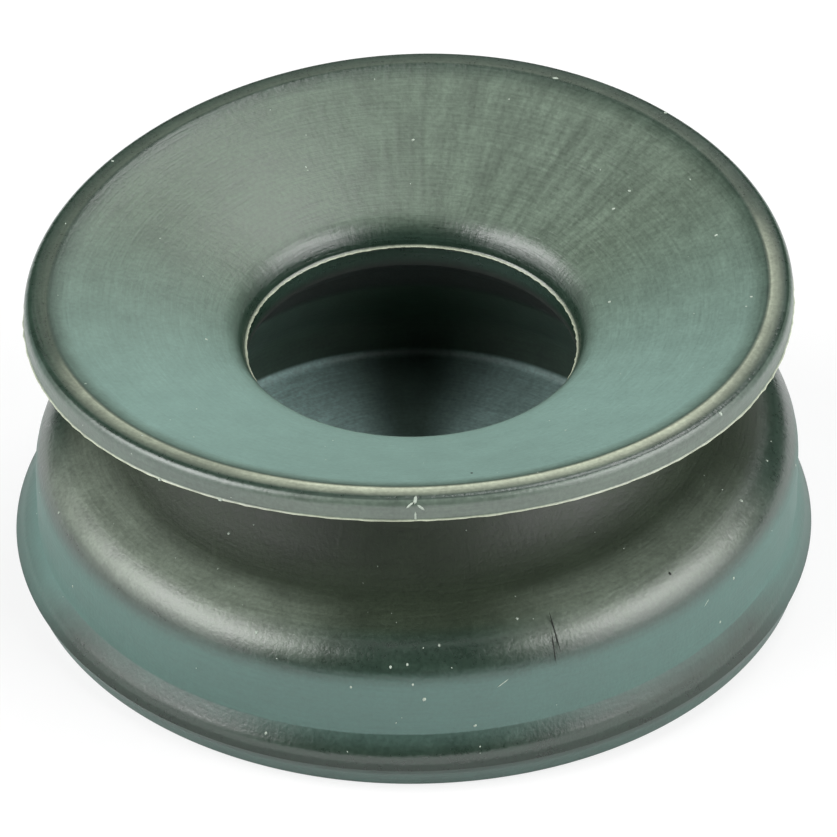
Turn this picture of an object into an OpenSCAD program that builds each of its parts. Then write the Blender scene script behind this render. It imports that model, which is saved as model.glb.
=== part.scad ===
// Vent seal: one moulded rubber ring that snaps into a round hole and holds a vent pipe.
// A thin flared lip stands on a hollow waist, and a thick flange with a raised rim closes the foot.
// The seal stands on the foot of its flange: z = 0 is the foot, and Z is its axis.

/* [Overall] */
// Height from the foot of the flange to the top of the lip
seal_h = 13.1; // [12.4:0.1:16]

/* [Flared lip] */
// Outside diameter of the lip
lip_d = 29.8; // [27:0.1:33]
// Height of the lip's outer face at the mould line
lip_edge_h = 0.9; // [0.6:0.05:1.4]
// Radius of the lip's outer upper edge
lip_edge_r = 0.35; // [0.2:0.05:0.4]
// Width of the level land round the top of the lip
lip_land_w = 0.95; // [0.8:0.05:1.4]
// Radius of the crest between the land and the dished face
crest_r = 0.6; // [0.3:0.05:1]
// Slope of the dished face, in degrees
dish_slope = 20.7; // [14:0.5:24]
// Slope of the lip's underside, in degrees
under_slope = 17; // [12:0.5:20]
// Radius where the underside turns down into the waist
under_r = 1.5; // [0.8:0.1:2]

/* [Droop of the soft lip] */
// Height that the lip loses at the right side
droop_right = 0.17; // [0:0.01:0.6]
// Height that the lip loses at the left side
droop_left = 0.83; // [0:0.01:0.9]
// Height that the lip gains at front and back
droop_rise = 0.3; // [0:0.01:0.4]

/* [Throat] */
// Diameter of the throat that grips the pipe
throat_d = 13; // [11:0.1:14]
// Length of the straight wall of the throat
throat_land = 0.8; // [0.5:0.1:1.2]
// Radius of the rounded entry from the dished face
throat_entry_r = 1.4; // [1:0.05:1.8]

/* [Waist] */
// Thickness of rubber between the throat and the neck of the groove
neck_wall = 2.5; // [2:0.1:3.2]
// Radius of the curve from the neck down to the groove's floor
waist_r = 3.3; // [2.6:0.1:3.3]
// Slope of the groove's floor from the rim up to the neck, in degrees
groove_slope = 12; // [8:0.5:14]

/* [Flange] */
// Diameter of the rim that stands on the flange
rim_d = 30.4; // [29:0.1:31.4]
// Height of the rim's top
rim_h = 4.75; // [4.2:0.05:5.1]
// Radius of the rim's outer upper edge
rim_edge_r = 0.7; // [0.3:0.05:0.8]
// Width of the rim's top, from its side to the edge of the groove
rim_w = 0.85; // [0.85:0.05:1.4]
// Diameter of the flange at its mould line, where it is widest
flange_d = 31.8; // [31.4:0.1:34]
// Diameter of the flange at the foot
foot_d = 30.8; // [29:0.1:31.4]
// Height at which the flange's flared side meets the rim
flange_h = 2.35; // [1.9:0.05:2.9]
// Height of the bead below the mould line
bead_h = 1.05; // [0.8:0.05:1.4]
// Depth of the step at the mould line
mould_step = 0.08; // [0.04:0.01:0.15]

/* [Chamber and foot lip] */
// Radial depth of the chamber behind the throat
chamber_depth = 3.9; // [3:0.1:4.2]
// Overhang of the throat over the top of the chamber
overhang = 0.9; // [0.6:0.1:1.1]
// Height of the chamber's straight wall above its floor
chamber_wall_h = 1.9; // [1.4:0.1:2.2]
// Thickness of the lip that closes the foot
foot_lip_t = 1.15; // [0.8:0.05:1.5]
// Diameter of the hole in the foot lip
foot_hole_d = 8; // [6:0.1:10]

/* [Hidden] */
$fn = 96;

// Radii of the section, measured from the axis
lip_r = lip_d / 2;
throat_r = throat_d / 2;
neck_r = throat_r + neck_wall;
chamber_r = throat_r + chamber_depth;
foot_hole_r = foot_hole_d / 2;

// Small edge roundings of the mould
fine_r = 0.12;
floor_r = 0.35;
bend_r = 2.2;

// Degrees of turn for each straight step of a rounding
arc_step = 6;
// Steps round the drooping lip, on each of its long stretches, and degrees of turn on its roundings
lip_steps = 64;
stretch_steps = 4;
lip_arc_step = 18;

// Radius at which the level land meets the dished face
crest_at_r = lip_r - lip_land_w;
// Height at which the dished face would meet the throat's wall
dish_z = seal_h - (crest_at_r - throat_r) * tan(dish_slope);
// Lowest point of the rounded entry, where the straight wall starts
entry_z = dish_z - throat_entry_r * tan((90 - dish_slope) / 2);
// Lower end of the throat's straight wall
throat_z = entry_z - throat_land;
// Height of the lip's outer lower edge, and of its underside at the neck
lip_z = seal_h - lip_edge_h;
under_z = lip_z - (lip_r - neck_r) * tan(under_slope);
// Radius of the groove's edge on the rim, and height at which the groove's floor would meet the neck
groove_r = rim_d / 2 - rim_w;
waist_z = rim_h + (groove_r - neck_r) * tan(groove_slope);

// Radii at which the droop starts on the dished face and on the underside, how far the lip laps
// into the core there, and how deep its faces lie under the core's in the lap
droop_top_r = throat_r + 1.9;
droop_under_r = neck_r + 1.5;
lap = 0.3;
sink = 0.02;

// Corners of the half section as [radius, height, rounding], anticlockwise from the foot
CORNERS = [
    [foot_hole_r, 0, fine_r],
    [foot_d / 2, 0, fine_r],
    [flange_d / 2 - mould_step, bead_h, 0],
    [flange_d / 2, bead_h, 0],
    [rim_d / 2, flange_h, 0],
    [rim_d / 2, rim_h, rim_edge_r],
    [groove_r, rim_h, 0],
    [neck_r, waist_z, waist_r],
    [neck_r, under_z, under_r],
    [lip_r, lip_z, 0],
    [lip_r, seal_h, lip_edge_r],
    [crest_at_r, seal_h, crest_r],
    [throat_r, dish_z, throat_entry_r],
    [throat_r, throat_z, fine_r],
    [throat_r + overhang, throat_z - overhang, floor_r],
    [chamber_r, foot_lip_t + chamber_wall_h, bend_r],
    [chamber_r, foot_lip_t, floor_r],
    [foot_hole_r, foot_lip_t, fine_r]
];

// Plane vector helpers
function unit(v) = v / norm(v);
function xy(c) = [c[0], c[1]];

// Points of the arc that rounds corner c between its neighbours p and n
function rounded(p, c, n, step) =
    let(
        a = unit(xy(p) - xy(c)),
        b = unit(xy(n) - xy(c)),
        half = acos(a * b) / 2,
        centre = xy(c) + unit(a + b) * c[2] / sin(half),
        from = xy(c) + a * c[2] / tan(half) - centre,
        turn = (180 - 2 * half) * sign(a[1] * b[0] - a[0] * b[1]),
        steps = ceil(abs(turn) / step)
    )
    c[2] == 0 ? [xy(c)] : [
        for (i = [0:steps])
            let(t = turn * i / steps)
            centre + [from[0] * cos(t) - from[1] * sin(t), from[0] * sin(t) + from[1] * cos(t)]
    ];

// Every rounded corner from one number to another, in order
function outline(from, to, step) =
    let(count = len(CORNERS))
    [
        for (i = [from:to])
            each rounded(CORNERS[(i + count - 1) % count], CORNERS[i], CORNERS[(i + 1) % count], step)
    ];

// Points on the dished face and on the underside at radius r
function on_dish(r) = [r, seal_h - (crest_at_r - r) * tan(dish_slope)];
function on_under(r) = [r, lip_z - (lip_r - r) * tan(under_slope)];

// Half section of the core: everything inside the radii where the droop starts
module core_section() {
    polygon(concat(
        outline(0, 8, arc_step),
        [on_under(droop_under_r), on_dish(droop_top_r)],
        outline(12, 17, arc_step)
    ));
}

// Half section of the lip, from its lap in the core out along the underside and back along the dished
// face, as [radius, height, radius at which the droop starts]
LIP = concat(
    [
        for (i = [0:stretch_steps - 1])
            let(from = droop_under_r - lap)
            concat(on_under(from + (lip_r - from) * i / stretch_steps), droop_under_r)
    ],
    [for (p = outline(9, 11, lip_arc_step)) concat(p, droop_top_r)],
    [
        for (i = [1:stretch_steps])
            let(to = droop_top_r - lap)
            concat(on_dish(crest_at_r - crest_r + (to - crest_at_r + crest_r) * i / stretch_steps), droop_top_r)
    ]
);

// How far the lip's rim has moved up at angle a, counted from the right side
function rim_rise(a) =
    let(side = (droop_left + droop_right) / 2, tilt = (droop_left - droop_right) / 2)
    (droop_rise - side) / 2 - (droop_rise + side) / 2 * cos(2 * a) + tilt * cos(a);

// Share of that which reaches radius r, when the droop starts at radius from
function reach(r, from) =
    let(t = max(0, (r - from) / (lip_r - from)))
    t * t * (3 - 2 * t);

// The lip as a ring of facets
module drooping_lip() {
    m = len(LIP);
    polyhedron(
        points = [
            for (i = [0:lip_steps - 1])
                let(a = 360 * i / lip_steps)
                for (p = LIP) [p[0] * cos(a), p[0] * sin(a), p[1] - sink + reach(p[0], p[2]) * rim_rise(a)]
        ],
        faces = [
            for (i = [0:lip_steps - 1], j = [0:m - 1], half = [0, 1])
                let(
                    next = (i + 1) % lip_steps,
                    up = (j + 1) % m,
                    a = i * m + j,
                    b = next * m + j,
                    c = next * m + up,
                    d = i * m + up
                )
                half == 0 ? [a, c, b] : [a, d, c]
        ]
    );
}

// The whole seal in black rubber
module vent_seal() {
    color([0.16, 0.19, 0.17])
        union() {
            rotate_extrude()
                core_section();
            drooping_lip();
        }
}

vent_seal();
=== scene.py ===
import math

import bpy
import numpy as np
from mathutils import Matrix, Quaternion, Vector


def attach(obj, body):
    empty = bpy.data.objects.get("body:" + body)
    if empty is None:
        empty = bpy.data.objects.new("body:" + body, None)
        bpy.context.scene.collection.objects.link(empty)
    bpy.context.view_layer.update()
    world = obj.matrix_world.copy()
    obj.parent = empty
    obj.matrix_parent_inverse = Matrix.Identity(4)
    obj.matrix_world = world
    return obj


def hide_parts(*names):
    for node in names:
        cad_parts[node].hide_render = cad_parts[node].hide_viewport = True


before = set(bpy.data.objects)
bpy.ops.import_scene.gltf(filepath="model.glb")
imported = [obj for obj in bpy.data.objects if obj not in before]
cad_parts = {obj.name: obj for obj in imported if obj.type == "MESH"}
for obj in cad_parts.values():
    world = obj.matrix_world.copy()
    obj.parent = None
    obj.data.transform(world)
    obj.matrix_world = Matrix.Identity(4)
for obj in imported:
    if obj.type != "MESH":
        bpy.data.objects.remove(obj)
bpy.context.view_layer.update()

mm = 0.001
scene = bpy.context.scene
scene.view_settings.view_transform = "Standard"
print("stage: frame loaded")


def toLinear(hexColour):
    # each sRGB channel of a hex colour, turned to scene linear
    channels = [int(hexColour[i:i + 2], 16) / 255 for i in (1, 3, 5)]
    return [c / 12.92 if c <= 0.04045 else ((c + 0.055) / 1.055) ** 2.4 for c in channels] + [1.0]


def addNode(tree, kind, settings={}, inputs={}):
    # settings are the node's own properties; an input is linked if it is a socket, and set if it is a value
    node = tree.nodes.new(kind)
    for name, value in settings.items():
        setattr(node, name, value)
    for key, value in inputs.items():
        if isinstance(value, bpy.types.NodeSocket):
            tree.links.new(value, node.inputs[key])
        else:
            node.inputs[key].default_value = value
    return node


def newTree(name):
    material = bpy.data.materials.new(name)
    material.use_nodes = True
    material.node_tree.nodes.clear()
    return material, material.node_tree


def gridMesh(name, points):
    # points[i, j] is a grid that is closed both round the axis, i, and along the section, j
    around, along = points.shape[:2]
    i = np.arange(around)[:, None]
    j = np.arange(along)[None, :]
    corners = [i * along + j, (i + 1) % around * along + j,
               (i + 1) % around * along + (j + 1) % along, i * along + (j + 1) % along]
    quads = np.stack([np.broadcast_to(c, (around, along)) for c in corners], -1).reshape(-1, 4)
    mesh = bpy.data.meshes.new(name)
    mesh.vertices.add(around * along)
    mesh.vertices.foreach_set("co", points.reshape(-1).astype(np.float32))
    mesh.loops.add(quads.size)
    mesh.loops.foreach_set("vertex_index", quads.reshape(-1).astype(np.int32))
    mesh.polygons.add(len(quads))
    mesh.polygons.foreach_set("loop_start", np.arange(0, quads.size, 4, dtype=np.int32))
    mesh.polygons.foreach_set("loop_total", np.full(len(quads), 4, np.int32))
    mesh.update(calc_edges=True)
    mesh.validate()
    mesh.polygons.foreach_set("use_smooth", np.ones(len(mesh.polygons), bool))
    return mesh


def addPiece(name, mesh, material):
    piece = bpy.data.objects.new(name, mesh)
    scene.collection.objects.link(piece)
    mesh.materials.append(material)
    return piece


# The camera stands in front of the seal and looks down on it through a long lens.
cameraView = {
    "elevation": 36.5,      # degrees above the floor
    "distance": 292.05,     # mm from the middle of the lip
    "aimHeight": 13.3,      # mm, the point that the distance is measured from
    "aimRight": 0.252,      # mm to the right of it, at the middle of the frame
    "aimDown": 5.952,       # mm below it in the frame
    "roll": -0.37,          # degrees
    "lens": 322.6,          # mm
    "sensor": 36.0,         # mm across
    "nearest": 10.0,        # mm, what is nearer isn't drawn
}


def addCamera(view):
    tilt = math.radians(view["elevation"])
    pivot = Vector((0, 0, view["aimHeight"]))
    back = Vector((0, -math.cos(tilt), math.sin(tilt)))
    up = Vector((0, math.sin(tilt), math.cos(tilt)))
    place = pivot + back * view["distance"]
    target = pivot + Vector((1, 0, 0)) * view["aimRight"] - up * view["aimDown"]
    camera = bpy.data.objects.new("camera", bpy.data.cameras.new("camera"))
    scene.collection.objects.link(camera)
    camera.data.sensor_width = view["sensor"]
    camera.data.lens = view["lens"]
    camera.data.clip_start = view["nearest"] * mm
    camera.location = place * mm
    camera.rotation_mode = "QUATERNION"
    look = (target - place).to_track_quat("-Z", "Y")
    camera.rotation_quaternion = look @ Quaternion((0, 0, 1), math.radians(view["roll"]))
    scene.camera = camera


addCamera(cameraView)
print("stage: camera")

# The seal's body, in mm and degrees: a section like the solid's, but with a higher and rounder rim from which
# the groove starts higher, drawn finer, and with the moulding's own unevenness round the axis.
sealBody = {
    "height": 13.0,
    "lipRadius": 14.874,
    "lipEdgeHeight": 0.9,
    "lipEdgeRound": 0.35,
    "landWidth": 0.95,
    "crestRound": 0.6,
    "dishSlope": 20.7,
    "underSlope": 17.0,
    "underRound": 1.5,
    "throatRadius": 6.56,
    "throatLand": 0.8,
    "throatRound": 1.4,
    "neckRadius": 9.0,
    "waistRound": 3.3,
    "grooveSlope": 7.0,
    "rimRadius": 15.12,
    "rimHeight": 5.9,
    "rimEdgeRound": 1.9,
    "flangeRadius": 15.86,
    "footRadius": 15.5,
    "flangeHeight": 2.2,
    "beadHeight": 0.97,
    "mouldStep": 0.08,
    "overhang": 0.9,
    "chamberRadius": 10.4,
    "chamberWall": 1.9,
    "footLip": 1.15,
    "footHoleRadius": 4.0,
    "fineRound": 0.12,
    "edgeRound": 0.15,
    "floorRound": 0.35,
    "bendRound": 2.2,
    "around": 440,              # points round the axis
    "arcStep": 7.0,             # degrees of turn between points of a rounding
    "longStep": 0.7,            # mm between points on straight stretches
    "leastStep": 0.008,         # mm, nearer points are left out
    "droopRight": 0.25,         # mm that the soft lip loses at the right side
    "droopLeft": 0.99,          # mm that it loses at the left side
    "droopRise": 0.235,         # mm that it gains at front and back
    "droopTurned": 0.114,       # mm, turns the droop a little from the axes
    "droopTopStart": 8.4,       # mm, radius where the droop starts on the dished face
    "droopUnderStart": 10.5,    # mm, radius where it starts on the underside
    "oval": 0.0094,             # share of the radius by which the lip is wider than deep
    "ovalTurned": 0.0012,       # the same, across the diagonals
    "lipShift": -0.11,          # mm towards the right
    "lipFoot": 8.0,             # mm, height that parts what follows the lip from what follows the flange
    "tiltFlange": 0.35,         # mm that the flange's edge stands higher on the right
    "tiltRadii": (9.5, 14.0),   # mm, radii between which the tilt grows
    "tiltFrom": (0.2, 2.3),     # mm, heights between which it grows
    "tiltTo": (5.5, 8.5),       # mm, heights between which it goes again
    "flangeShift": 0.04,        # mm towards the right
    "rimShift": 0.135,          # mm more for the rim, above the mould line
    "shiftRadii": (11.0, 15.0),     # mm, radii between which both shifts grow
    "rimShiftFrom": (1.1, 2.3),     # mm, heights between which the rim's own shift grows
    "throatShiftRight": 0.01,   # mm, how far the throat lies off the axis
    "throatShiftBack": 0.04,
    "throatRadii": (6.6, 10.0),     # mm, radii between which the throat's shift goes
    "throatFoot": 7.0,          # mm, height that it starts from
    "flashRise": 0.15,          # mm from the lowest point of the rounded entry up to the flash
    "ragWaves": (9, 150),       # fewest and most waves round a ragged fin
    "ragMiddle": 0.5,           # share of the raggedness at its middle
    "ragSpread": 0.5,           # and how far it mostly strays from there
    "ragMost": 1.6,
    "seed": 11,
}

# Fins of flash at the mould lines, in mm. The way is 1 outwards and -1 inwards.
flashFins = {
    "throat": {"height": 0.10, "ragged": 0.025, "halfThickness": 0.08, "way": -1},
    "lip": {"height": 0.06, "ragged": 0.03, "halfThickness": 0.07, "way": 1},
}
# Points across a fin, in half thicknesses from its middle.
finOffsets = np.array([-1.5, -1, -0.6, -0.25, 0, 0.25, 0.6, 1, 1.5])


def sectionCorners(s):
    # [radius, height, rounding] of each corner of the half section, anticlockwise from the foot
    slope = lambda angle: math.tan(math.radians(angle))
    crestRadius = s["lipRadius"] - s["landWidth"]
    dishZ = s["height"] - (crestRadius - s["throatRadius"]) * slope(s["dishSlope"])
    entryZ = dishZ - s["throatRound"] * slope((90 - s["dishSlope"]) / 2)
    throatZ = entryZ - s["throatLand"]
    lipZ = s["height"] - s["lipEdgeHeight"]
    underZ = lipZ - (s["lipRadius"] - s["neckRadius"]) * slope(s["underSlope"])
    waistZ = s["rimHeight"] + (s["rimRadius"] - s["neckRadius"]) * slope(s["grooveSlope"])
    chamberZ = s["footLip"] + s["chamberWall"]
    corners = np.array([
        [s["footHoleRadius"], 0, s["fineRound"]],
        [s["footRadius"], 0, s["fineRound"]],
        [s["flangeRadius"] - s["mouldStep"], s["beadHeight"], 0],
        [s["flangeRadius"], s["beadHeight"], 0],
        [s["rimRadius"], s["flangeHeight"], s["edgeRound"]],
        [s["rimRadius"], s["rimHeight"], s["rimEdgeRound"]],
        [s["neckRadius"], waistZ, s["waistRound"]],
        [s["neckRadius"], underZ, s["underRound"]],
        [s["lipRadius"], lipZ, 0],
        [s["lipRadius"], s["height"], s["lipEdgeRound"]],
        [crestRadius, s["height"], s["crestRound"]],
        [s["throatRadius"], dishZ, s["throatRound"]],
        [s["throatRadius"], throatZ, s["fineRound"]],
        [s["throatRadius"] + s["overhang"], throatZ - s["overhang"], s["floorRound"]],
        [s["chamberRadius"], chamberZ, s["bendRound"]],
        [s["chamberRadius"], s["footLip"], s["floorRound"]],
        [s["footHoleRadius"], s["footLip"], s["fineRound"]],
    ])
    return corners, {"entry": entryZ, "lip": lipZ}


def sectionLine(s, corners):
    # each corner is replaced by the arc that touches both its sides, and long stretches get points between
    line = []
    for before, corner, after in zip(np.roll(corners, 1, 0), corners, np.roll(corners, -1, 0)):
        if corner[2] == 0:
            line.append(corner[None, :2])
            continue
        a = (before - corner)[:2] / np.hypot(*(before - corner)[:2])
        b = (after - corner)[:2] / np.hypot(*(after - corner)[:2])
        half = math.acos(a @ b) / 2
        middle = corner[:2] + (a + b) / np.hypot(*(a + b)) * corner[2] / math.sin(half)
        start = corner[:2] + a * corner[2] / math.tan(half) - middle
        turn = (math.pi - 2 * half) * np.sign(a[1] * b[0] - a[0] * b[1])
        t = np.linspace(0, turn, int(np.ceil(np.degrees(abs(turn)) / s["arcStep"])) + 1)
        arc = np.stack([start[0] * np.cos(t) - start[1] * np.sin(t),
                        start[0] * np.sin(t) + start[1] * np.cos(t)], 1)
        line.append(middle + arc)
    line = np.concatenate(line)
    return np.vstack([line, line[:1]])


def lengthAlong(line):
    return np.r_[0, np.cumsum(np.hypot(*np.diff(line, axis=0).T))]


def stopsAlong(length, s, extra):
    # lengths along the section: every point of the line, more on long stretches, and the extra ones asked for
    pieces = [np.linspace(a, b, int(np.ceil((b - a) / s["longStep"])) + 1)[:-1]
              for a, b in zip(length[:-1], length[1:]) if b - a > 1e-6]
    stops = np.unique(np.round(np.concatenate(pieces + [extra]), 5))
    stops = stops[np.r_[True, np.diff(stops) > s["leastStep"]]]
    return stops[stops < length[-1] - 1e-4]


def ripple(azimuth, lowest, highest, seed):
    # sum of whole-number waves round the axis with seeded phases, scaled to a spread of about one
    random = np.random.default_rng(seed)
    waves = np.arange(lowest, highest)
    phases = random.uniform(0, 2 * np.pi, len(waves))
    heights = random.normal(1, 0.4, len(waves))
    total = (heights * np.sin(np.outer(azimuth, waves) + phases)).sum(1)
    return total / total.std()


def easeBetween(value, low, high):
    # smooth step from 0 at the low end to 1 at the high end
    t = np.clip((value - low) / (high - low), 0, 1)
    return t * t * (3 - 2 * t)


def sealGrid(s, fins):
    # points[i, j]: the section turned round the axis, plus the fins, and the lip's droop and oval, which grow
    # with a smooth step from the radius where they start to the rim; the flange's edge tilts in the same way
    corners, heights = sectionCorners(s)
    line = sectionLine(s, corners)
    length = lengthAlong(line)
    onThroat = np.argmin(np.hypot(line[:, 0] - s["throatRadius"], line[:, 1] - heights["entry"]))
    onLip = np.argmin(np.hypot(line[:, 0] - s["lipRadius"], line[:, 1] - heights["lip"]))
    finStops = {"throat": length[onThroat] - s["flashRise"], "lip": length[onLip]}
    extra = np.concatenate([finStops[k] + finOffsets * fins[k]["halfThickness"] for k in fins])
    stops = stopsAlong(length, s, extra)
    radius = np.interp(stops, length, line[:, 0])
    height = np.interp(stops, length, line[:, 1])
    azimuth = np.linspace(0, 2 * np.pi, s["around"], endpoint=False)
    turn = azimuth[:, None]

    # the lip: waves of one and two periods round the axis, whose share grows with the radius
    side = (s["droopLeft"] + s["droopRight"]) / 2
    rise = ((s["droopRise"] - side) / 2 - (s["droopRise"] + side) / 2 * np.cos(2 * turn)
            + (s["droopLeft"] - s["droopRight"]) / 2 * np.cos(turn) + s["droopTurned"] * np.sin(2 * turn))
    start = np.where(stops < finStops["lip"], s["droopUnderStart"], s["droopTopStart"])
    reach = np.where(height > s["lipFoot"], easeBetween(radius, start, s["lipRadius"]), 0)
    r = radius * (1 + reach * (s["oval"] * np.cos(2 * turn) + s["ovalTurned"] * np.sin(2 * turn)))

    # the fins: a roof of the fin's thickness, with a ragged height round the axis
    roofs = {k: np.clip(1 - np.abs(stops - finStops[k]) / fins[k]["halfThickness"], 0, 1) for k in fins}
    for k, fin in fins.items():
        wave = ripple(azimuth, *s["ragWaves"], s["seed"] + fin["way"])
        rag = np.clip(wave * s["ragSpread"] + s["ragMiddle"], 0, s["ragMost"])
        r = r + fin["way"] * np.outer(fin["height"] + fin["ragged"] * (rag - s["ragMiddle"]), roofs[k])

    # the flange's tilt, and the shifts of lip, throat, flange and rim
    flange = (easeBetween(radius, *s["tiltRadii"]) * easeBetween(height, *s["tiltFrom"])
              * (1 - easeBetween(height, *s["tiltTo"])))
    outer = np.where(height < s["lipFoot"], easeBetween(radius, *s["shiftRadii"]), 0)
    inner = np.where(height > s["throatFoot"], 1 - easeBetween(radius, *s["throatRadii"]), 0)
    x = (r * np.cos(turn) + reach * s["lipShift"] + inner * s["throatShiftRight"]
         + outer * (s["flangeShift"] + easeBetween(height, *s["rimShiftFrom"]) * s["rimShift"]))
    y = r * np.sin(turn) + inner * s["throatShiftBack"]
    z = height + reach * rise + flange * s["tiltFlange"] * np.cos(turn)
    section = {"stops": stops, "radius": radius, "height": height, "azimuth": azimuth,
               "lipStop": finStops["lip"], "fin": sum(roofs.values())}
    return np.stack([x, y, z], -1), section


bodyPoints, section = sealGrid(sealBody, flashFins)
bodyMesh = gridMesh("vent_seal_body", bodyPoints * mm)
print("stage: body,", len(section["stops"]), "points along,", 2 * len(bodyMesh.polygons), "triangles")

# Films on the rubber, from 0 to 1. Three follow the rubber's own finish: a matt grey scuff on the dished face,
# the rubbed rubber of the groove, and the worn pale edge of the lip with the thin flash, which over the front
# and right also carries a painted highlight. The rest are paint that stands in for light as it falls when seen
# from the front, and they look painted from other sides: a teal painted reflection on the front of the dish
# and a deeper one on rim, flare and bead, a painted highlight in two patches on the groove, painted shade on
# the throat's wall, and painted light on the chamber's floor. A pair of numbers gives where a film starts and
# where it is whole.
filmSpread = {
    "scuffDish": 1.0,           # the first numbers are shares
    "scuffChamber": 0.35,
    # painted reflection, teal: on the front of the dish, and a little on the lip's face
    "reflectionPaintDish": 1.0,
    "reflectionPaintFace": 0.15,          # on the lip's outer face
    # painted reflection, deeper teal: on rim, bead, and the flare at the sides
    "deepRim": 0.9,
    "deepBead": 0.5,
    "deepFlare": 0.7,           # on the flare at the sides; none at the front
    # the worn edge, face and flash; the shares after the one all round add a painted highlight over the front
    "wornEdge": 0.95,
    "wornFace": 0.08,
    "wornFin": 0.9,
    "wornRound": 0.10,          # share of the worn edge all round
    "edgeHighlightFront": 0.5,           # a painted highlight over the front and right
    "edgeHighlightMiddle": 0.4,          # and more of that painted highlight from the middle of the front to the right
    # painted highlight in two patches on the groove
    "highlightPaintRight": 0.8,         # the right patch's share of the left one, in the groove's painted highlight
    # painted light on the chamber's floor
    "floorLightLeast": 0.12,          # share of the painted floor light at the back
    "floorLightRight": 0.5,           # the painted floor light's share at the right
    "floorLightLeft": 1.0,            # and at the left
    "dishFoot": (9.8, 10.7),    # mm, heights, from the throat's entry up
    "dishEdge": (14.0, 13.5),   # mm, radii, from the lip's edge in
    "faceDepth": 0.3,           # mm in from the lip's outer face
    "faceBelow": 0.2,           # mm under the face's foot
    "faceAbove": 0.05,          # mm under the lip's top
    "edgeRadii": (14.1, 14.35),     # mm, between which the lip's top is worn
    "edgeFade": 0.2,            # mm
    "rimFoot": (-0.1, 0.05),    # mm above the foot of the rim's wall
    "rimTop": (5.2, 4.3),       # mm, heights, from the roll down
    "beadTop": (0.0, -0.1),     # mm above the bead's top
    "flareSides": (55, 72),     # degrees from the front
    "reflectionPaintAhead": (125, 45),    # degrees from the front, where the painted reflection starts and where it is whole
    "grooveBelow": 2.0,         # mm under the rim's top, where the groove's film starts
    "grooveTop": 11.0,          # mm, height
    "rubbedRadii": (14.2, 13.2),    # mm, radii
    "highlightPaintInner": (11.7, 13.1),    # mm, radii
    "highlightPaintOuter": (15.0, 14.5),
    "chamberTop": 6.0,          # mm, height
    "shadePaintTop": 8.75,            # mm, height under which the throat's wall gets painted shade
    "floorTop": (1.5, 1.3),     # mm, heights
    "floorLightFromBack": (3, 26),    # degrees from the back, over which the painted floor light grows
    # degrees to the right of the front between which a patch is whole, and over which it fades; the first two
    # are the lip's painted highlight, the last two the groove's painted highlight
    "edgeHighlightFrontSpan": (-60, 95, 15),
    "edgeHighlightMiddleSpan": (-15, 45, 20),
    "highlightPaintLeftSpan": (-68, -32, 26),
    "highlightPaintRightSpan": (31, 52, 24),
}


def fadeIn(value, ends):
    # smooth step from 0 at the first end to 1 at the second, whichever is larger
    start, whole = ends
    return easeBetween(value, start, whole) if start < whole else 1 - easeBetween(value, whole, start)


def bandBetween(value, low, high, fade):
    # 1 between low and high, with a smooth step over the fade on both sides
    return easeBetween(value, low - fade, low) * (1 - easeBetween(value, high, high + fade))


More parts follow.
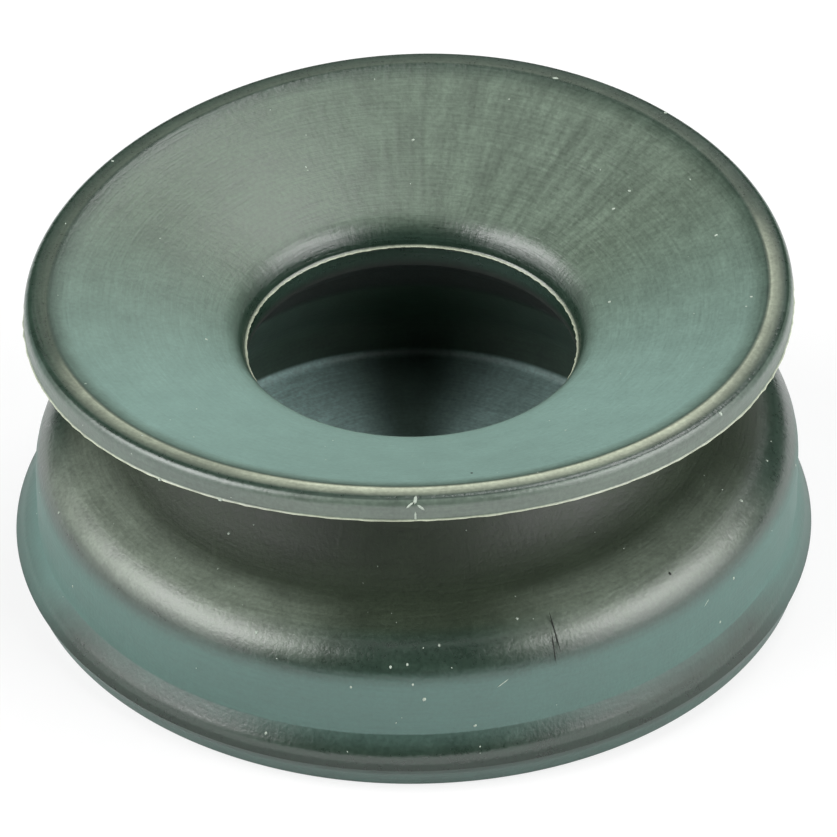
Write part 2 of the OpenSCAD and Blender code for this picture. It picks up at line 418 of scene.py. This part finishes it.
def addFilms(mesh, section, s, body):
    # each film is a share along the section times a share round the axis
    r, z = section["radius"], section["height"]
    turn = section["azimuth"][:, None] + np.pi / 2
    ahead = np.degrees(np.angle(np.exp(1j * turn)))
    fromFront = np.abs(ahead)
    top = section["stops"] > section["lipStop"]

    # places along the section
    dish = top * fadeIn(z, s["dishFoot"]) * fadeIn(r, s["dishEdge"])
    edge = top * bandBetween(r, *s["edgeRadii"], s["edgeFade"])
    faceFoot = body["height"] - body["lipEdgeHeight"] - s["faceBelow"]
    face = (r > body["lipRadius"] - s["faceDepth"]) * (z > faceFoot) * (z < body["height"] - s["faceAbove"])
    groove = ~top * (z > body["rimHeight"] - s["grooveBelow"]) * (z < s["grooveTop"])
    rim = ~top * fadeIn(z - body["flangeHeight"], s["rimFoot"]) * fadeIn(z, s["rimTop"])
    flare = ~top * (z < body["flangeHeight"] + s["rimFoot"][1]) * (z > body["beadHeight"])
    bead = ~top * fadeIn(z - body["beadHeight"], s["beadTop"])
    chamber = top * (z < s["chamberTop"])
    floor = chamber * fadeIn(z, s["floorTop"])
    throat = top * (z < s["shadePaintTop"]) * (z > s["chamberTop"])

    # shares round the axis
    # the edge is worn all round, and carries a painted highlight over the front and right
    wearAndHighlightSides = (s["wornRound"] + s["edgeHighlightFront"] * bandBetween(ahead, *s["edgeHighlightFrontSpan"])
                 + s["edgeHighlightMiddle"] * bandBetween(ahead, *s["edgeHighlightMiddleSpan"]))
    # the groove's painted highlight, in a left and a right patch
    grooveHighlightPaint = (bandBetween(ahead, *s["highlightPaintLeftSpan"])
              + s["highlightPaintRight"] * bandBetween(ahead, *s["highlightPaintRightSpan"]))
    # painted floor light, more at the left than the right and least at the back
    floorLightSides = (s["floorLightLeft"] + s["floorLightRight"]) / 2 - (s["floorLightLeft"] - s["floorLightRight"]) / 2 * np.sin(turn)
    floorLightPaint = s["floorLightLeast"] + (1 - s["floorLightLeast"]) * fadeIn(180 - fromFront, s["floorLightFromBack"]) * floorLightSides

    edgeWearAndHighlight = (s["wornEdge"] * edge + s["wornFace"] * face) * wearAndHighlightSides + s["wornFin"] * section["fin"]

    films = {
        "scuff": s["scuffDish"] * dish + s["scuffChamber"] * chamber,
        # painted reflection, teal, on the front of the dish and on the lip's face
        "dishReflectionPaint": s["reflectionPaintDish"] * fadeIn(fromFront, s["reflectionPaintAhead"]) * dish + s["reflectionPaintFace"] * face,
        # painted reflection, deeper teal, on rim, bead and the flare's sides
        "deep": (s["deepRim"] * rim + s["deepBead"] * bead
                 + s["deepFlare"] * flare * fadeIn(fromFront, s["flareSides"])),
        "rubbed": groove * fadeIn(r, s["rubbedRadii"]),
        # painted highlight in two patches on the groove
        "grooveHighlightPaint": groove * fadeIn(r, s["highlightPaintInner"]) * fadeIn(r, s["highlightPaintOuter"]) * grooveHighlightPaint,
        # painted light on the chamber's floor
        "floorLightPaint": floor * floorLightPaint,
        # painted shade on the throat's wall
        "throatShadePaint": throat,
        # wear on the lip's edge and flash, with a painted highlight over the front
        "edgeWearAndHighlight": np.minimum(1, edgeWearAndHighlight),
    }
    for name, film in films.items():
        values = mesh.attributes.new(name, "FLOAT", "POINT")
        film = np.broadcast_to(film, (len(turn), len(r)))
        values.data.foreach_set("value", np.ascontiguousarray(film, np.float32).reshape(-1))


addFilms(bodyMesh, section, filmSpread, sealBody)

# Moulded black rubber, satin. The bare rubber is green-black and shines most; the scuffed film is grey-green,
# the painted reflections are teal and matt, the painted floor light is pale, and so is the worn edge with its
# painted highlight. All are mottled at about a millimetre and finely speckled, with fine scratches round the
# axis and, at the back right of the dish, streaks across them.
rubberLook = {
    "bare": "#22352a",
    "scuffed": "#4f5f50",
    # painted reflection, teal, on the dish
    "dishReflectionTeal": "#6c8980",
    # painted reflection, deeper teal, on rim, flare and bead
    "deep": "#44675f",
    # painted highlight on the groove
    "grooveHighlightPaint": "#6d786a",
    # painted shade on the throat's wall
    "throatShadePaint": "#10170f",
    "rubbed": "#263320",
    "floorLightPaint": "#b4d6d2",      # painted light, pale because little light reaches the chamber's floor
    # worn edge and flash, with the painted highlight over the lip's front
    "edgeWearAndHighlight": "#c6cdb4",
    "bareRoughness": 0.30,
    "scuffedRoughness": 0.42,
    "dishReflectionTealRoughness": 0.60,
    "deepRoughness": 0.58,
    "grooveHighlightPaintRoughness": 0.42,
    "rubbedRoughness": 0.58,
    "floorLightPaintRoughness": 0.70,
    "throatShadePaintRoughness": 0.70,
    "edgeWearAndHighlightRoughness": 0.45,
    "ior": 1.75,            # rubber's is about 1.5; raised so that highlights stand out from the dark
    "mottleSize": 1.3,      # mm
    "speckleSize": 0.16,    # mm, judged
    "scratchWidth": 0.12,   # mm
    "scratchTurns": 5.0,    # how often a scratch changes in a radian
    "streakCount": 26.0,    # how many streaks a radian
    "streakLength": 3.0,    # mm
    "streakSide": (0.45, 0.9, 0),   # the way from the axis to the streaks, right and back
    "streakReach": (0.6, 0.95),     # how well a place lies that way, where they start and are whole
    "mottleDepth": 0.16,    # share by which the colour is lighter or darker
    "speckleDepth": 0.20,
    "scratchDepth": 0.15,
    "streakDepth": 0.24,
    "underReflectionPaint": 0.35,     # share of the patterns that still shows where the painted reflections are whole
    "glossSpread": 0.10,    # how much rougher the lighter places are
    "mottleDetail": 6.0,    # how many finer layers each noise has
    "speckleDetail": 2.0,
    "scratchDetail": 3.0,
    "streakDetail": 2.0,
    "noiseSpan": (0.25, 0.75),      # the noise's usual range, drawn out to -1 and 1
    "shadeSpan": (0.5, 1.5),        # the range of shades that the roughness follows
    "relief": 0.012,        # mm
}


def filmColours(tree, look, order, films):
    # each film in turn is laid over the colour and the roughness of those before it
    colour, roughness = toLinear(look["bare"]), look["bareRoughness"]
    for film, name in order.items():
        colour = addNode(tree, "ShaderNodeMix", {"data_type": "RGBA"}, {
            0: films[film], 6: colour, 7: toLinear(look[name])}).outputs[2]
        roughness = addNode(tree, "ShaderNodeMix", {"data_type": "FLOAT"}, {
            0: films[film], 2: roughness, 3: look[name + "Roughness"]}).outputs[0]
    return colour, roughness


def patternPlaces(tree, look, place):
    # the point's direction from the axis, and its distance, in the plane of the foot
    flat = addNode(tree, "ShaderNodeVectorMath", {"operation": "MULTIPLY"}, {
        0: place, 1: (1, 1, 0)}).outputs[0]
    away = addNode(tree, "ShaderNodeVectorMath", {"operation": "NORMALIZE"}, {0: flat}).outputs[0]
    radius = addNode(tree, "ShaderNodeVectorMath", {"operation": "LENGTH"}, {0: flat}).outputs[1]
    parts = addNode(tree, "ShaderNodeSeparateXYZ", {}, {"Vector": place})
    # scratches: noise that changes fast with distance and height, slowly with direction
    line = addNode(tree, "ShaderNodeMath", {"operation": "ADD"}, {0: radius, 1: parts.outputs[2]}).outputs[0]
    line = addNode(tree, "ShaderNodeMath", {"operation": "MULTIPLY"}, {
        0: line, 1: 1 / (look["scratchWidth"] * mm)}).outputs[0]
    across = addNode(tree, "ShaderNodeCombineXYZ", {}, {0: 0.0, 1: 0.0, 2: line}).outputs[0]
    scratchAt = addNode(tree, "ShaderNodeVectorMath", {"operation": "MULTIPLY_ADD"}, {
        0: away, 1: (look["scratchTurns"],) * 3, 2: across}).outputs[0]
    # streaks: noise that changes fast with direction, slowly with the place
    slow = addNode(tree, "ShaderNodeVectorMath", {"operation": "MULTIPLY"}, {
        0: place, 1: (1 / (look["streakLength"] * mm),) * 3}).outputs[0]
    streakAt = addNode(tree, "ShaderNodeVectorMath", {"operation": "MULTIPLY_ADD"}, {
        0: away, 1: (look["streakCount"],) * 3, 2: slow}).outputs[0]
    return away, scratchAt, streakAt


def streakShare(tree, look, away, scuff):
    # streaks only lie on the scuffed dish, towards one side: a share that grows along the given direction
    toward = addNode(tree, "ShaderNodeVectorMath", {"operation": "DOT_PRODUCT"}, {
        0: away, 1: look["streakSide"]}).outputs[1]
    low, high = look["streakReach"]
    depth = addNode(tree, "ShaderNodeMapRange", {}, {
        "Value": toward, 1: low, 2: high, 3: 0.0, 4: look["streakDepth"]}).outputs[0]
    return addNode(tree, "ShaderNodeMath", {"operation": "MULTIPLY"}, {0: depth, 1: scuff}).outputs[0]


def makeRubber(look):
    material, tree = newTree("satinMouldedRubber")
    place = addNode(tree, "ShaderNodeTexCoord").outputs["Object"]
    # the films in the order they are laid; among them are painted reflections, a painted highlight, painted
    # light and painted shade
    order = {"scuff": "scuffed", "rubbed": "rubbed", "grooveHighlightPaint": "grooveHighlightPaint", "dishReflectionPaint": "dishReflectionTeal",
             "deep": "deep", "floorLightPaint": "floorLightPaint", "throatShadePaint": "throatShadePaint", "edgeWearAndHighlight": "edgeWearAndHighlight"}
    films = {name: addNode(tree, "ShaderNodeAttribute", {"attribute_name": name}).outputs["Fac"]
             for name in order}
    colour, roughness = filmColours(tree, look, order, films)
    away, scratchAt, streakAt = patternPlaces(tree, look, place)
    # where each noise is read, its scale, its detail and how deep it is
    patterns = (
        (place, 1 / (look["mottleSize"] * mm), look["mottleDetail"], look["mottleDepth"]),
        (place, 1 / (look["speckleSize"] * mm), look["speckleDetail"], look["speckleDepth"]),
        (scratchAt, 1.0, look["scratchDetail"], look["scratchDepth"]),
        (streakAt, 1.0, look["streakDetail"], streakShare(tree, look, away, films["scuff"])),
    )
    noiseLow, noiseHigh = look["noiseSpan"]
    shadeLow, shadeHigh = look["shadeSpan"]
    # the patterns show less where the painted reflections are whole
    smooth = addNode(tree, "ShaderNodeMath", {"operation": "MAXIMUM"}, {0: films["dishReflectionPaint"], 1: films["deep"]})
    rough = addNode(tree, "ShaderNodeMapRange", {}, {
        "Value": smooth.outputs[0], 1: 0.0, 2: 1.0, 3: 1.0, 4: look["underReflectionPaint"]}).outputs[0]
    shade, height = 1.0, 0.0
    for vector, scale, detail, depth in patterns:
        noise = addNode(tree, "ShaderNodeTexNoise", {}, {
            "Vector": vector, "Scale": scale, "Detail": detail}).outputs[0]
        wave = addNode(tree, "ShaderNodeMapRange", {}, {
            "Value": noise, 1: noiseLow, 2: noiseHigh, 3: -1.0, 4: 1.0}).outputs[0]
        wave = addNode(tree, "ShaderNodeMath", {"operation": "MULTIPLY"}, {0: wave, 1: rough}).outputs[0]
        step = addNode(tree, "ShaderNodeMath", {"operation": "MULTIPLY_ADD"}, {
            0: wave, 1: depth, 2: 1.0}).outputs[0]
        shade = addNode(tree, "ShaderNodeMath", {"operation": "MULTIPLY"}, {0: shade, 1: step}).outputs[0]
        height = addNode(tree, "ShaderNodeMath", {"operation": "ADD"}, {0: height, 1: noise}).outputs[0]
    colour = addNode(tree, "ShaderNodeVectorMath", {"operation": "MULTIPLY"}, {
        0: colour, 1: shade}).outputs[0]
    uneven = addNode(tree, "ShaderNodeMapRange", {}, {
        "Value": shade, 1: shadeLow, 2: shadeHigh,
        3: -look["glossSpread"], 4: look["glossSpread"]}).outputs[0]
    uneven = addNode(tree, "ShaderNodeMath", {"operation": "ADD"}, {0: roughness, 1: uneven}).outputs[0]
    relief = addNode(tree, "ShaderNodeBump", {}, {
        "Strength": 1.0, "Distance": look["relief"] * mm, "Height": height}).outputs[0]
    shader = addNode(tree, "ShaderNodeBsdfPrincipled", {}, {
        "Base Color": colour, "Roughness": uneven, "IOR": look["ior"], "Normal": relief})
    addNode(tree, "ShaderNodeOutputMaterial", {}, {"Surface": shader.outputs[0]})
    return material


body = addPiece("seal_body", bodyMesh, makeRubber(rubberLook))
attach(body, "root")
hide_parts("vent_seal")
print("stage: rubber")

# Crumbs of pale moulding dust, lint and two dark cuts, each flat on the surface: degrees to the right of the
# front, mm along the section from the foot, length and width in mm, and degrees between length and section.
crumbRows = {
    "pale": [
        [-126, 33.6, 0.16, 0.12, 0], [-80, 40.4, 0.14, 0.12, 30], [179, 37.8, 0.16, 0.12, 60],
        [155, 34.1, 0.3, 0.14, 80], [127, 38.3, 0.18, 0.12, 20], [128, 37.3, 0.16, 0.1, 70],
        [97, 40.7, 0.16, 0.12, 0], [105, 35.8, 0.18, 0.13, 0], [85, 34.9, 0.14, 0.12, 0],
        [135, 33.5, 0.2, 0.14, 0], [-4, 17.2, 0.16, 0.12, 0], [-10, 16.3, 0.14, 0.11, 0],
        [1, 15.8, 0.22, 0.16, 20], [-2, 17.3, 0.14, 0.1, 0], [-1, 16.5, 0.14, 0.1, 0],
        [3, 18, 0.15, 0.11, 0], [16, 18.7, 0.16, 0.12, 0], [-25, 17.8, 0.2, 0.15, 0],
        [-22, 13.5, 0.15, 0.12, 0], [-41, 21.5, 0.16, 0.12, 0], [-71, 17.2, 0.14, 0.12, 0],
        [-63, 15.1, 0.16, 0.12, 0], [-39, 32.5, 0.18, 0.12, 80], [-29, 32.5, 0.22, 0.12, 80],
        [8, 14.3, 0.18, 0.12, 60], [54, 16.3, 0.17, 0.13, 0], [65, 18.3, 0.2, 0.15, 0],
        [53, 33.3, 0.2, 0.14, 0], [76, 18.1, 0.13, 0.1, 0], [51, 14.7, 0.15, 0.12, 0],
        [82, 16.5, 0.14, 0.11, 0], [1, 33.4, 0.4, 0.16, 10], [0, 33.2, 0.42, 0.1, 50],
        [2, 33.1, 0.4, 0.12, -50], [1, 32.7, 0.5, 0.1, 0], [12, 16.2, 0.62, 0.05, 55],
        [47.5, 16.2, 0.4, 0.05, 55],
    ],
    "dark": [
        [43, 18.1, 0.16, 0.12, 0], [11, 35.6, 0.16, 0.12, 0], [21, 17.8, 1.9, 0.07, 3],
        [20.2, 17.2, 1.5, 0.05, 3],
    ],
}
crumbStyle = {
    "scattered": 150,       # more pale crumbs, anywhere from the flare to the dish
    "smallest": 0.03,       # mm
    "largest": 0.07,        # mm
    "firstStop": 13.0,      # mm along the section
    "lastStop": 40.0,
    "flatness": 0.35,       # height over width
    "seed": 5,
    "pale": "#a9b5a8",
    "dark": "#141b13",
    "roughness": 0.6,
    "unevenSize": 0.1,      # mm
    "noiseSpan": (0.3, 0.7),        # the noise's usual range
    "shadeSpan": (0.8, 1.1),        # and the shades that it is drawn out to
    "sides": 6,             # corners round a crumb
    "ringHeight": 0.5,      # radians up and down to its two rings of corners
}


def crumbBall(s):
    # a ball of two poles and two rings of corners, and the triangles between them
    n = s["sides"]
    turn = np.arange(n) * 2 * np.pi / n
    ring = lambda up: np.stack([
        np.cos(turn) * np.cos(up), np.sin(turn) * np.cos(up), np.full(n, np.sin(up))], 1)
    ball = np.vstack([[0, 0, -1], ring(-s["ringHeight"]), ring(s["ringHeight"]), [0, 0, 1]])
    lower, upper, pole = 1 + np.arange(n), 1 + n + np.arange(n), np.full(n, 2 * n + 1)
    nextLower, nextUpper = np.roll(lower, -1), np.roll(upper, -1)
    faces = np.vstack([
        np.stack([0 * lower, nextLower, lower], 1), np.stack([lower, nextLower, nextUpper], 1),
        np.stack([lower, nextUpper, upper], 1), np.stack([upper, nextUpper, pole], 1)])
    return ball, faces


def crumbMesh(name, rows, section, points, s):
    # each crumb is a small ball, stretched along its own length, width and height over the surface
    stops, count = section["stops"], len(section["azimuth"])
    i = np.round((rows[:, 0] - 90) / 360 * count).astype(int) % count
    j = np.clip(np.searchsorted(stops, rows[:, 1]) - 1, 0, len(stops) - 2)
    share = ((rows[:, 1] - stops[j]) / (stops[j + 1] - stops[j]))[:, None]
    at = points[i, j] * (1 - share) + points[i, j + 1] * share
    unit = lambda vector: vector / np.linalg.norm(vector, axis=1)[:, None]
    along = unit(points[i, j + 1] - points[i, j])
    around = unit(points[(i + 1) % count, j] - points[i - 1, j])
    out = np.cross(around, along)
    angle = np.radians(rows[:, 4])[:, None]
    length = along * np.cos(angle) + around * np.sin(angle)
    width = np.cross(out, length)
    ball, faces = crumbBall(s)
    size = rows[:, 2:4] / 2
    corners = (at[:, None] + ball[None, :, :1] * (length * size[:, :1])[:, None]
               + ball[None, :, 1:2] * (width * size[:, 1:])[:, None]
               + ball[None, :, 2:] * (out * size[:, 1:] * s["flatness"])[:, None])
    faces = faces[None] + len(ball) * np.arange(len(rows))[:, None, None]
    mesh = bpy.data.meshes.new(name)
    mesh.from_pydata((corners.reshape(-1, 3) * mm).tolist(), [], faces.reshape(-1, 3).tolist())
    mesh.shade_smooth()
    return mesh


def addCrumbs(kind, rows, section, points, s):
    # moulding dust is matt and a little uneven in shade
    material, tree = newTree(kind + "MouldingDust")
    place = addNode(tree, "ShaderNodeTexCoord").outputs["Object"]
    noise = addNode(tree, "ShaderNodeTexNoise", {}, {"Vector": place, "Scale": 1 / (s["unevenSize"] * mm)})
    noiseLow, noiseHigh = s["noiseSpan"]
    shadeLow, shadeHigh = s["shadeSpan"]
    shade = addNode(tree, "ShaderNodeMapRange", {}, {
        "Value": noise.outputs[0], 1: noiseLow, 2: noiseHigh, 3: shadeLow, 4: shadeHigh})
    colour = addNode(tree, "ShaderNodeVectorMath", {"operation": "MULTIPLY"}, {
        0: toLinear(s[kind])[:3], 1: shade.outputs[0]})
    shader = addNode(tree, "ShaderNodeBsdfPrincipled", {}, {
        "Base Color": colour.outputs[0], "Roughness": s["roughness"]})
    addNode(tree, "ShaderNodeOutputMaterial", {}, {"Surface": shader.outputs[0]})
    piece = addPiece(kind + "_crumbs", crumbMesh(kind + "_crumbs", rows, section, points, s), material)
    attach(piece, "root")


def scatterCrumbs(s):
    # small crumbs at random: degrees, mm along the section, length, width, turn
    random = np.random.default_rng(s["seed"])
    n = s["scattered"]
    size = random.uniform(s["smallest"], s["largest"], n)
    return np.stack([random.uniform(-180, 180, n), random.uniform(s["firstStop"], s["lastStop"], n),
                     size * random.uniform(1, 2, n), size, random.uniform(0, 180, n)], 1)


paleRows = np.vstack([crumbRows["pale"], scatterCrumbs(crumbStyle)])
addCrumbs("pale", paleRows, section, bodyPoints, crumbStyle)
addCrumbs("dark", np.array(crumbRows["dark"]), section, bodyPoints, crumbStyle)
print("stage: crumbs")

# The floor is a plain pale board, matt and very slightly uneven. To the camera it is mixed with plain white,
# so that it meets the white behind it and still holds the seal's soft shadow.
floorBoard = {
    "size": 3000.0,         # mm
    "colour": "#fbfbfb",
    "darker": "#f7f7f7",
    "grain": 2.0,           # mm
    "roughness": 0.9,
    "whiteShare": 0.7,
}


def makeFloor(s):
    half = s["size"] / 2 * mm
    mesh = bpy.data.meshes.new("floor")
    corners = [(-half, -half, 0), (half, -half, 0), (half, half, 0), (-half, half, 0)]
    mesh.from_pydata(corners, [], [(0, 1, 2, 3)])
    material, tree = newTree("paleMattFloor")
    place = addNode(tree, "ShaderNodeTexCoord").outputs["Object"]
    grain = addNode(tree, "ShaderNodeTexNoise", {}, {"Vector": place, "Scale": 1 / (s["grain"] * mm)})
    colour = addNode(tree, "ShaderNodeMix", {"data_type": "RGBA"}, {
        0: grain.outputs[0], 6: toLinear(s["colour"]), 7: toLinear(s["darker"])})
    shader = addNode(tree, "ShaderNodeBsdfPrincipled", {}, {
        "Base Color": colour.outputs[2], "Roughness": s["roughness"], "Specular IOR Level": 0.0})
    path = addNode(tree, "ShaderNodeLightPath")
    white = addNode(tree, "ShaderNodeEmission", {}, {"Color": toLinear("#ffffff"), "Strength": 1.0})
    share = addNode(tree, "ShaderNodeMath", {"operation": "MULTIPLY"}, {
        0: path.outputs["Is Camera Ray"], 1: s["whiteShare"]})
    both = addNode(tree, "ShaderNodeMixShader", {}, {
        0: share.outputs[0], 1: shader.outputs[0], 2: white.outputs[0]})
    addNode(tree, "ShaderNodeOutputMaterial", {}, {"Surface": both.outputs[0]})
    addPiece("floor", mesh, material)


makeFloor(floorBoard)

# Soft boxes: degrees round from the front, right being positive, and up; size in mm, power in watts. All
# stand equally far from the seal and point at its middle.
studioLights = {
    "overhead": {"turn": 0, "up": 89, "size": (260, 260), "watts": 0.14},
    "leftLow": {"turn": -75, "up": 16, "size": (500, 180), "watts": 0.5},
    "leftHigh": {"turn": -80, "up": 42, "size": (420, 200), "watts": 1.9},
    "rightLow": {"turn": 68, "up": 16, "size": (500, 180), "watts": 0.8},
    "rightHigh": {"turn": 75, "up": 42, "size": (420, 200), "watts": 1.5},
    "backRight": {"turn": 145, "up": 60, "size": (200, 200), "watts": 0.55},
    "back": {"turn": 180, "up": 35, "size": (200, 200), "watts": 0.05},
}
lampStand = {
    "away": 450.0,          # mm
    "aim": 6.0,             # mm above the floor
    "colour": "#ffffff",
}
worldLight = {"strength": 0.05, "colour": "#ffffff", "shown": "#ffffff"}


def addLights(lights, stand, world):
    # the world behind everything is shown white, and lights the seal only dimly
    for name, s in lights.items():
        turn, up = math.radians(s["turn"]), math.radians(s["up"])
        way = Vector((math.sin(turn) * math.cos(up), -math.cos(turn) * math.cos(up), math.sin(up)))
        lamp = bpy.data.lights.new(name, "AREA")
        lamp.shape = "RECTANGLE"
        lamp.size, lamp.size_y = s["size"][0] * mm, s["size"][1] * mm
        lamp.energy = s["watts"]
        lamp.color = toLinear(stand["colour"])[:3]
        holder = bpy.data.objects.new(name, lamp)
        scene.collection.objects.link(holder)
        holder.location = (way * stand["away"] + Vector((0, 0, stand["aim"]))) * mm
        holder.rotation_mode = "QUATERNION"
        holder.rotation_quaternion = (-way).to_track_quat("-Z", "Y")
    scene.world = bpy.data.worlds.new("studio")
    scene.world.use_nodes = True
    tree = scene.world.node_tree
    tree.nodes.clear()
    path = addNode(tree, "ShaderNodeLightPath")
    dim = addNode(tree, "ShaderNodeBackground", {}, {
        "Color": toLinear(world["colour"]), "Strength": world["strength"]})
    white = addNode(tree, "ShaderNodeBackground", {}, {"Color": toLinear(world["shown"]), "Strength": 1.0})
    both = addNode(tree, "ShaderNodeMixShader", {}, {
        0: path.outputs["Is Camera Ray"], 1: dim.outputs[0], 2: white.outputs[0]})
    addNode(tree, "ShaderNodeOutputWorld", {}, {"Surface": both.outputs[0]})


addLights(studioLights, lampStand, worldLight)
print("stage: floor and lights")
